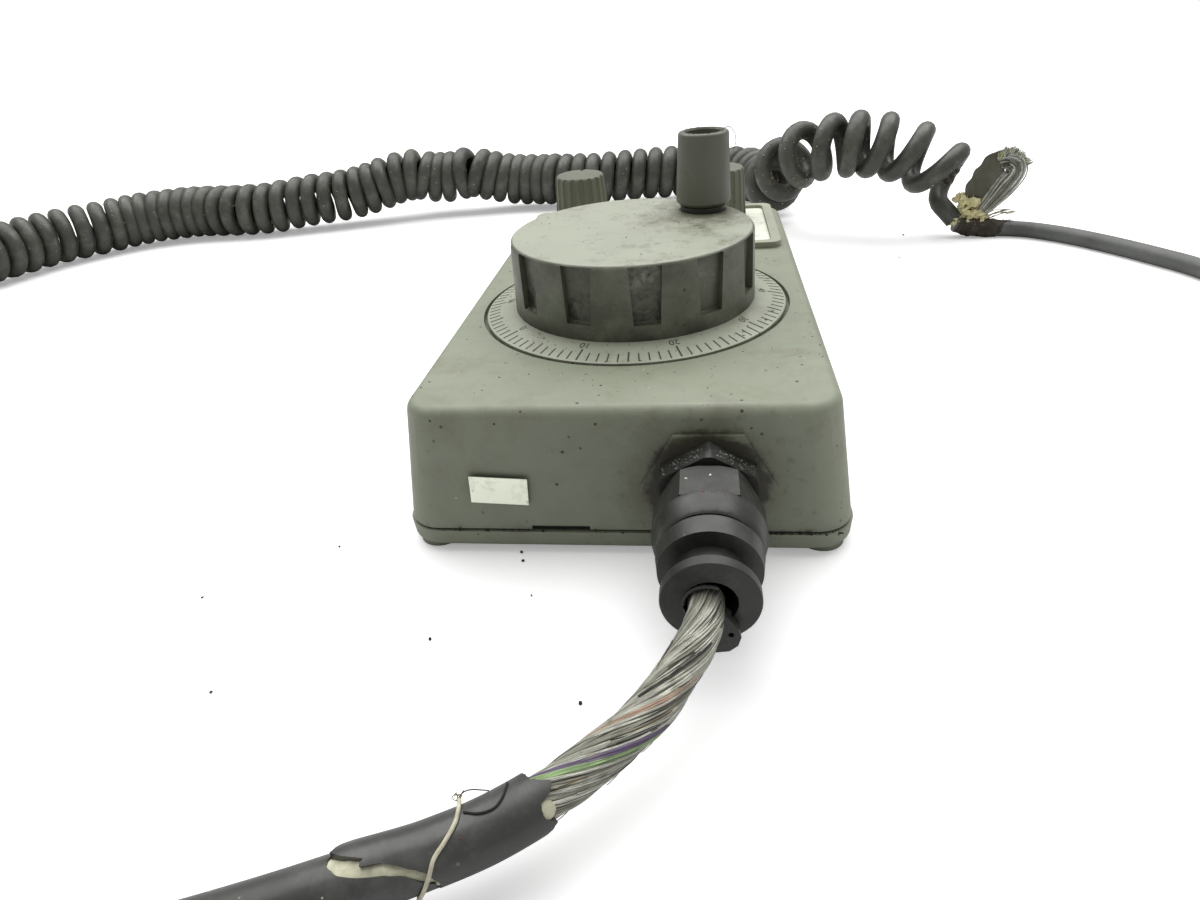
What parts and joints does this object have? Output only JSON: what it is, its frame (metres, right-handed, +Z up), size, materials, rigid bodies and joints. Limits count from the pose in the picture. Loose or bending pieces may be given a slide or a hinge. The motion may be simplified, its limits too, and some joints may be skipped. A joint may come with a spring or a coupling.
{
  "type": "pulse generator handwheel",
  "caption": "Hand-held pulse generator with a dialled handwheel and crank grip, two selector knobs, a cable gland, and a curly cable that ends in a round connector.",
  "frame": {"origin": "on the table under the middle of the housing", "axes": "+Z up, -Y towards the gland, +X to the right when the gland faces the viewer"},
  "size_m": [0.6517, 0.4356, 0.0748],
  "materials": {
    "cover_plastic": "matte",
    "wheel_plastic": "matte",
    "dial_plastic": "matte",
    "legend_film": "satin",
    "black_nylon": "satin",
    "cable_jacket": "matte",
    "gasket_rubber": "matte",
    "steel": "satin",
    "dark_casting": "satin",
    "board_green": "satin",
    "plug_metal": "satin",
    "tie_nylon": "satin"
  },
  "bodies": {
    "root": {"upper_cover": "cover_plastic", "base_cover": "cover_plastic", "housing_gasket": "gasket_rubber", "base_screws": "steel", "legend_bezel": "cover_plastic", "legend_plate": "legend_film", "pulse_generator_body": "dark_casting", "pulse_generator_cap": "dark_casting", "generator_screws": "steel", "shaft_bearing": "steel", "pulse_sensor": "black_nylon", "axis_switch": "dark_casting", "scale_switch": "dark_casting", "axis_switch_nut": "steel", "scale_switch_nut": "steel", "circuit_board": "board_green", "terminal_block": "board_green", "board_screws": "steel", "gland_body": "black_nylon", "gland_locknut": "black_nylon", "gland_nut": "black_nylon", "strain_boot": "black_nylon", "lead_cord": "cable_jacket", "curly_cord": "cable_jacket", "tail_cord": "cable_jacket", "tail_coil": "cable_jacket", "coil_tie": "tie_nylon", "plug_lead": "cable_jacket", "plug_boot": "black_nylon", "plug_backshell": "plug_metal", "plug_shell": "plug_metal", "plug_insert": "black_nylon"},
    "wheel": {"handwheel": "wheel_plastic", "dial_disc": "dial_plastic", "main_shaft": "steel", "pulse_disc": "steel", "wheel_set_screws": "steel", "crank_pin": "steel", "crank_neck": "black_nylon"},
    "crank": {"crank_grip": "wheel_plastic"},
    "axis_selector": {"axis_knob": "wheel_plastic", "axis_shaft": "steel"},
    "scale_selector": {"scale_knob": "wheel_plastic", "scale_shaft": "steel"},
    "plug_coupling": {"plug_ring": "plug_metal"}
  },
  "joints": [
    {"name": "wheel_spin", "type": "hinge", "parent": "root", "child": "wheel", "pos_m": [0, -0.0172, 0.036], "axis": [0, 0, 1], "continuous": true},
    {"name": "crank_spin", "type": "hinge", "parent": "wheel", "child": "crank", "pos_m": [0.01816, -0.00197, 0.058], "axis": [0, 0, 1], "continuous": true},
    {"name": "axis_select", "type": "hinge", "parent": "root", "child": "axis_selector", "pos_m": [-0.0237, 0.0598, 0.037], "axis": [0, 0, 1], "range_deg": [-60, 60]},
    {"name": "scale_select", "type": "hinge", "parent": "root", "child": "scale_selector", "pos_m": [0.0237, 0.0598, 0.037], "axis": [0, 0, 1], "range_deg": [-30, 30]},
    {"name": "coupling_spin", "type": "hinge", "parent": "root", "child": "plug_coupling", "pos_m": [0.1988, -0.072, 0.0125], "axis": [0, -1, 0], "continuous": true}
  ]
}
